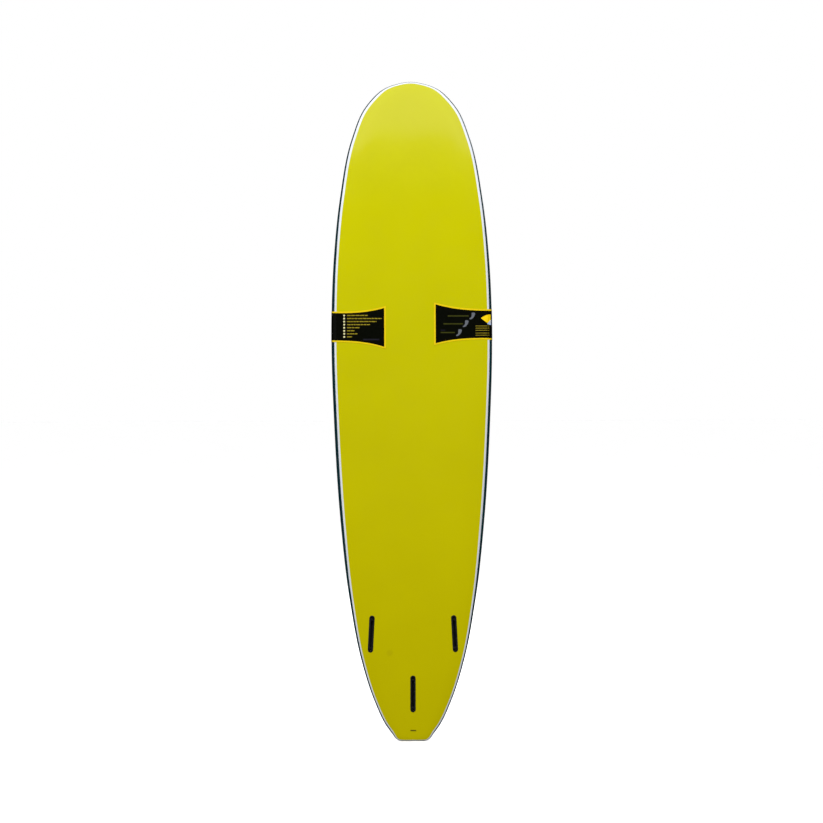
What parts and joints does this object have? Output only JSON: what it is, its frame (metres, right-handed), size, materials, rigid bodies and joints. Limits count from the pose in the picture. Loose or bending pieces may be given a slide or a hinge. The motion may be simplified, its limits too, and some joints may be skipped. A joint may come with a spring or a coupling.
{
  "type": "surfboard",
  "caption": "Soft-top longboard with a slick bottom, a foam deck that wraps the rails, empty fin boxes with screws, a leash cup and a printed band round its middle.",
  "frame": {"origin": "the middle of the tail's end, which the board stands on in an upright rack", "axes": "+Z from tail to nose, +Y out of the deck, -Y out of the slick bottom, +X to the right of someone who faces the bottom with the nose up"},
  "size_m": [0.5926, 0.139, 2.4382],
  "materials": {
    "core_foam": "white bead foam, cut and glued",
    "stringer_ply": "thin plywood, bare",
    "liner_foam": "closed-cell foam sheet",
    "slick_bottom": "smooth yellow polyethylene, satin gloss",
    "seam_strip": "white welded foam strip",
    "deck_foam": "dark petrol closed-cell foam, fine leather grain",
    "block_foam": "hard grey foam",
    "box_nylon": "moulded black nylon",
    "insert_brass": "turned brass",
    "screw_steel": "dull stainless steel",
    "band_print": "printed film, black with a golden edge"
  },
  "bodies": {
    "board": {"core_left_outer": "core_foam", "core_left_inner": "core_foam", "core_right_inner": "core_foam", "core_right_outer": "core_foam", "stringer_left": "stringer_ply", "stringer_centre": "stringer_ply", "stringer_right": "stringer_ply", "bottom_liner": "liner_foam", "bottom_skin": "slick_bottom", "seam_strip_left": "seam_strip", "seam_strip_right": "seam_strip", "deck_skin": "deck_foam", "fin_block_left": "block_foam", "fin_box_left": "box_nylon", "fin_block_right": "block_foam", "fin_box_right": "box_nylon", "fin_block_centre": "block_foam", "fin_box_centre": "box_nylon", "fin_inserts": "insert_brass", "leash_block": "block_foam", "leash_cup": "box_nylon", "leash_pin": "screw_steel", "belly_band": "band_print"},
    "screw_left_front": {"fin_screw_left_front": "screw_steel"},
    "screw_left_rear": {"fin_screw_left_rear": "screw_steel"},
    "screw_right_front": {"fin_screw_right_front": "screw_steel"},
    "screw_right_rear": {"fin_screw_right_rear": "screw_steel"},
    "screw_centre_front": {"fin_screw_centre_front": "screw_steel"},
    "screw_centre_rear": {"fin_screw_centre_rear": "screw_steel"}
  },
  "joints": [
    {"name": "screw_left_front_travel", "type": "slide", "parent": "board", "child": "screw_left_front", "axis": [0, -0.9986, -0.053], "range_m": [0, 0.005]},
    {"name": "screw_left_rear_travel", "type": "slide", "parent": "board", "child": "screw_left_rear", "axis": [0, -0.9986, -0.053], "range_m": [0, 0.005]},
    {"name": "screw_right_front_travel", "type": "slide", "parent": "board", "child": "screw_right_front", "axis": [0, -0.9986, -0.053], "range_m": [0, 0.005]},
    {"name": "screw_right_rear_travel", "type": "slide", "parent": "board", "child": "screw_right_rear", "axis": [0, -0.9986, -0.053], "range_m": [0, 0.005]},
    {"name": "screw_centre_front_travel", "type": "slide", "parent": "board", "child": "screw_centre_front", "axis": [0, -0.997, -0.0775], "range_m": [0, 0.005]},
    {"name": "screw_centre_rear_travel", "type": "slide", "parent": "board", "child": "screw_centre_rear", "axis": [0, -0.997, -0.0775], "range_m": [0, 0.005]}
  ]
}
